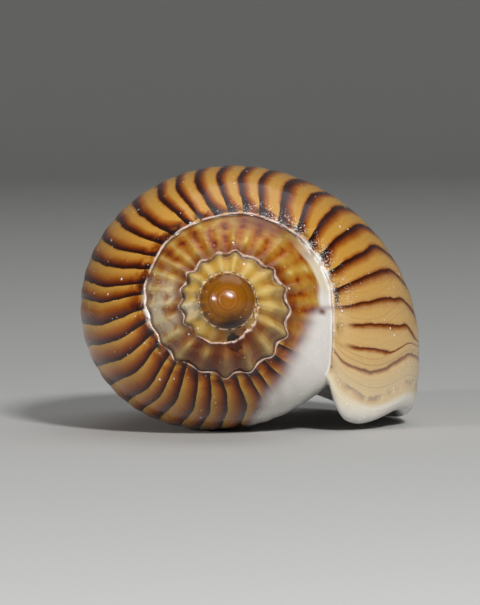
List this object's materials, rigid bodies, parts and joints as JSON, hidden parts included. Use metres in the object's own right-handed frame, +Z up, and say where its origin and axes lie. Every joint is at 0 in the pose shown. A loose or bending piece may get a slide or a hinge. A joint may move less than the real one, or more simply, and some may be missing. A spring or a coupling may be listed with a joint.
{
  "type": "volute shell",
  "caption": "Glossy right-handed sea shell with a low ribbed spire, brown growth stripes, a thick pale lip and a long narrow mouth, lying mouth down.",
  "frame": {"origin": "on the surface that the shell lies on, under the middle of its bounding box", "axes": "+Z up, -Y towards the spire's tip along the axis of coiling, +X towards the outer lip's side"},
  "size_m": [0.0264, 0.0456, 0.0204],
  "materials": {
    "shell": "glossy, with dark brown growth stripes on golden tan, and a white lip and callus"
  },
  "bodies": {
    "root": {"shell": "shell"}
  },
  "joints": []
}
